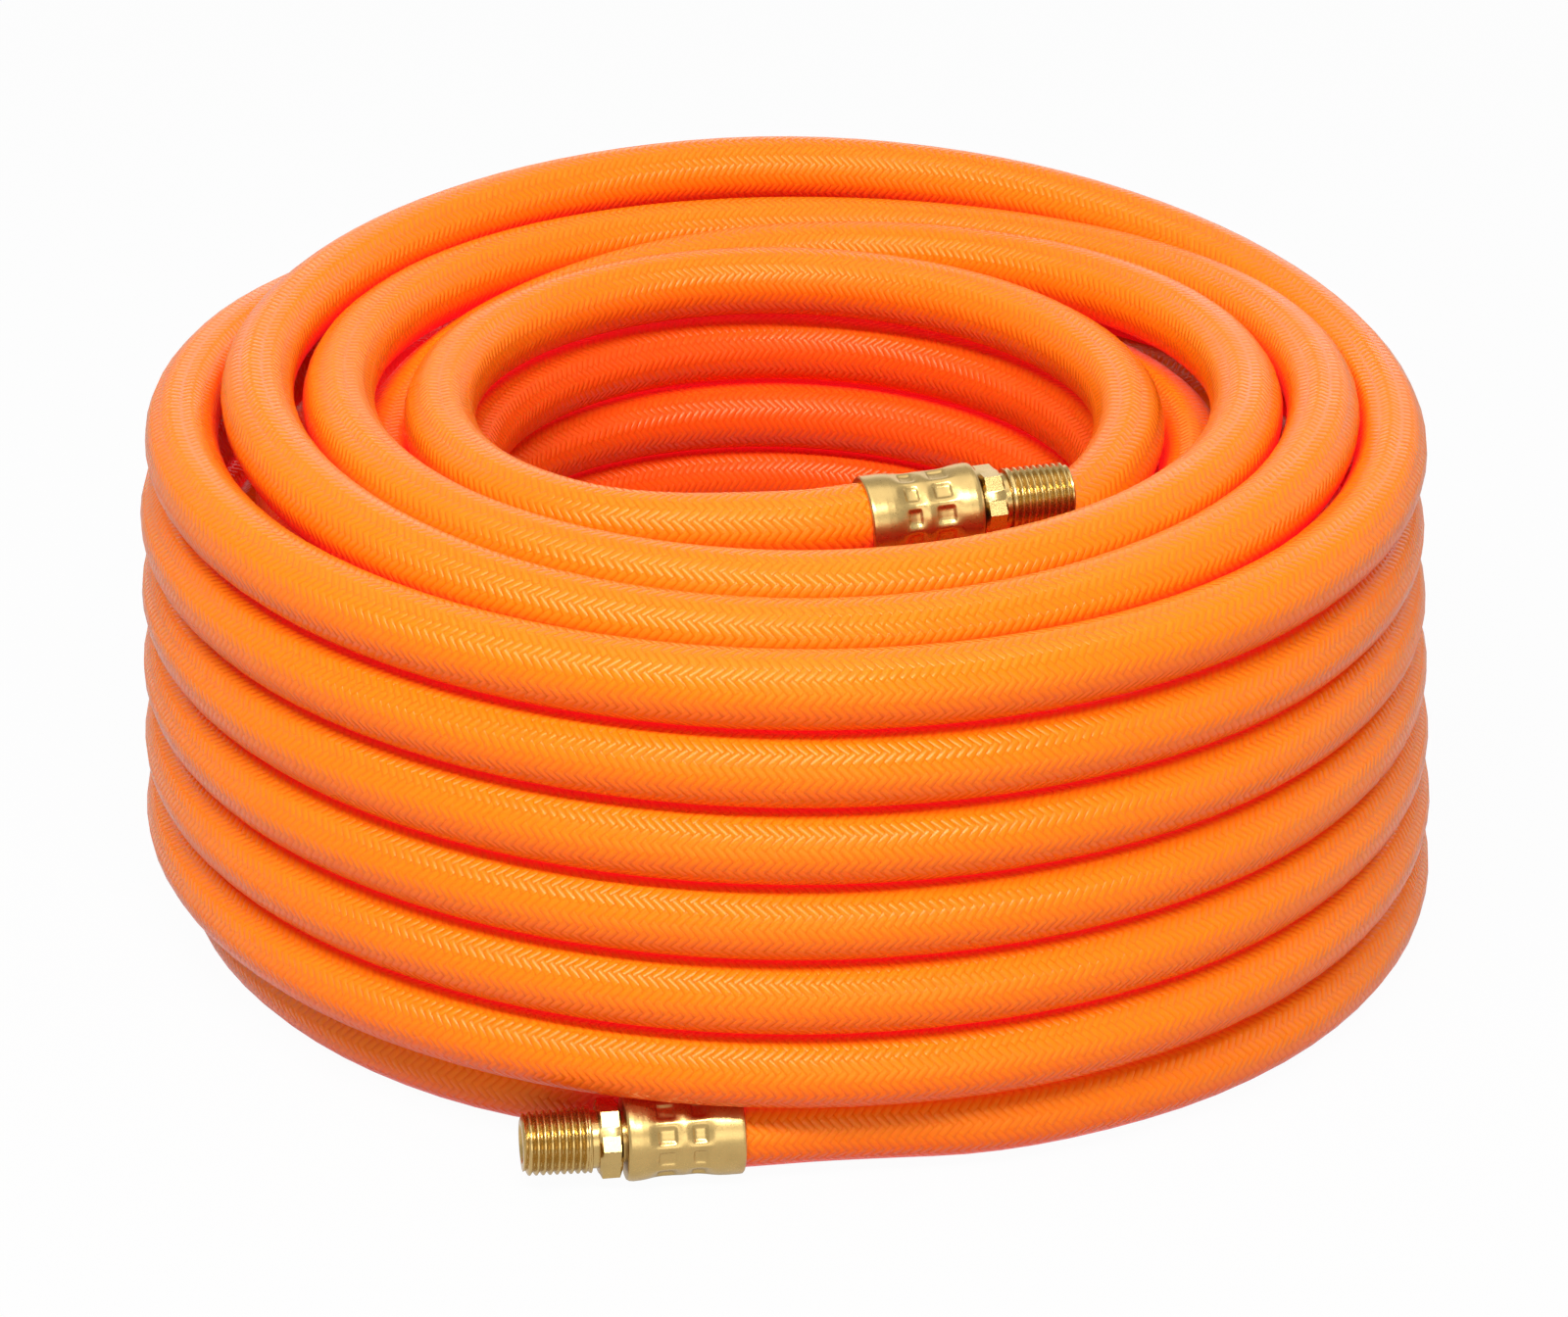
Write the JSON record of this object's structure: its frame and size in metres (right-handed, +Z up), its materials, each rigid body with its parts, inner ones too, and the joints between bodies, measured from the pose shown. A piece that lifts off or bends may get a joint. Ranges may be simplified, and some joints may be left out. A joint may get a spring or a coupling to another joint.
{
  "type": "coiled air hose",
  "caption": "Long flexible air hose wound in a flat-lying coil with an open middle, with a crimped ferrule and a male pipe thread on each end.",
  "frame": {"origin": "on the floor under the middle of the whole outline", "axes": "+Z up along the axis of the coil; +Y towards the far side; the two fittings are at the front, towards -Y"},
  "size_m": [0.2944, 0.295, 0.1302],
  "materials": {
    "hose": "smooth soft PVC, slightly glossy, with a fine braid showing through",
    "brass": "turned brass",
    "brass_ferrule": "brass sleeve, crimped"
  },
  "bodies": {
    "root": {"hose_coil": "hose", "hose_core": "hose", "inner_end_nipple": "brass", "inner_end_ferrule": "brass_ferrule", "outer_end_nipple": "brass", "outer_end_ferrule": "brass_ferrule"}
  },
  "joints": []
}
